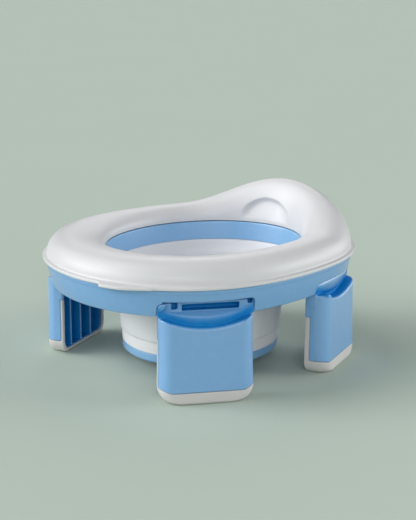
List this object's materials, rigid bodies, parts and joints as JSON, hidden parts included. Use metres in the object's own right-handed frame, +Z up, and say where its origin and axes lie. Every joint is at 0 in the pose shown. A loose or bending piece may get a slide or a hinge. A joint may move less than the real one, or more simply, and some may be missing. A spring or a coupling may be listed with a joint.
{
  "type": "potty training chair",
  "caption": "Folding travel potty: puffy oval seat with a raised end on a base ring, a collapsible bowl hung in the middle and swing-out leg panels with grip edges.",
  "frame": {"origin": "on the floor, under the middle of the seat's plan box (the finger tab left out)", "axes": "+Z up, +Y towards the raised end of the seat, +X to the side that carries the finger tab"},
  "size_m": [0.2524, 0.29, 0.1471],
  "materials": {
    "seat_white": "smooth, soft sheen",
    "frame_blue": "smooth, soft sheen",
    "bowl_white": "satin, flexible",
    "bowl_blue": "satin",
    "grip_white": "matt, soft grip",
    "pin_steel": "plain"
  },
  "bodies": {
    "base": {"base_ring": "frame_blue", "hinge_pin_front_right_a": "pin_steel", "hinge_pin_front_right_b": "pin_steel", "hinge_pin_front_left_a": "pin_steel", "hinge_pin_front_left_b": "pin_steel", "hinge_pin_back_right_a": "pin_steel", "hinge_pin_back_right_b": "pin_steel", "hinge_pin_back_left_a": "pin_steel", "hinge_pin_back_left_b": "pin_steel"},
    "seat": {"seat_ring": "seat_white"},
    "bowl": {"bowl_rim": "bowl_blue", "bowl_wall": "bowl_white"},
    "cup": {"bowl_cup_wall": "bowl_white", "bowl_base": "bowl_blue"},
    "leg_front_right": {"leg_shell_front_right": "frame_blue", "leg_trim_front_right": "grip_white"},
    "leg_front_left": {"leg_shell_front_left": "frame_blue", "leg_trim_front_left": "grip_white"},
    "leg_back_right": {"leg_shell_back_right": "frame_blue", "leg_trim_back_right": "grip_white"},
    "leg_back_left": {"leg_shell_back_left": "frame_blue", "leg_trim_back_left": "grip_white"}
  },
  "joints": [
    {"name": "fold_front_right", "type": "hinge", "parent": "base", "child": "leg_front_right", "pos_m": [0.09602, -0.0735, 0.0785], "axis": [-0.4673, -0.8841, 0], "range_deg": [-25, 70], "stiffness_Nm_per_rad": 1.5},
    {"name": "fold_front_left", "type": "hinge", "parent": "base", "child": "leg_front_left", "pos_m": [-0.09602, -0.0735, 0.0785], "axis": [-0.4673, 0.8841, 0], "range_deg": [-25, 70], "stiffness_Nm_per_rad": 1.5},
    {"name": "fold_back_right", "type": "hinge", "parent": "base", "child": "leg_back_right", "pos_m": [0.09295, 0.0696, 0.0785], "axis": [0.423, -0.9061, 0], "range_deg": [-25, 70], "stiffness_Nm_per_rad": 1.5},
    {"name": "fold_back_left", "type": "hinge", "parent": "base", "child": "leg_back_left", "pos_m": [-0.09295, 0.0696, 0.0785], "axis": [0.423, 0.9061, 0], "range_deg": [-25, 70], "stiffness_Nm_per_rad": 1.5},
    {"name": "seat_lift", "type": "slide", "parent": "base", "child": "seat", "axis": [0, 0, 1], "range_m": [0, 0.12]},
    {"name": "bowl_lift", "type": "slide", "parent": "base", "child": "bowl", "axis": [0, 0, 1], "range_m": [0, 0.06]},
    {"name": "bowl_collapse", "type": "slide", "parent": "bowl", "child": "cup", "axis": [0, 0, 1], "range_m": [0, 0.045]}
  ],
  "couplings": [
    {"joint": "bowl_lift", "follows": "seat_lift", "ratio": 0.5}
  ]
}
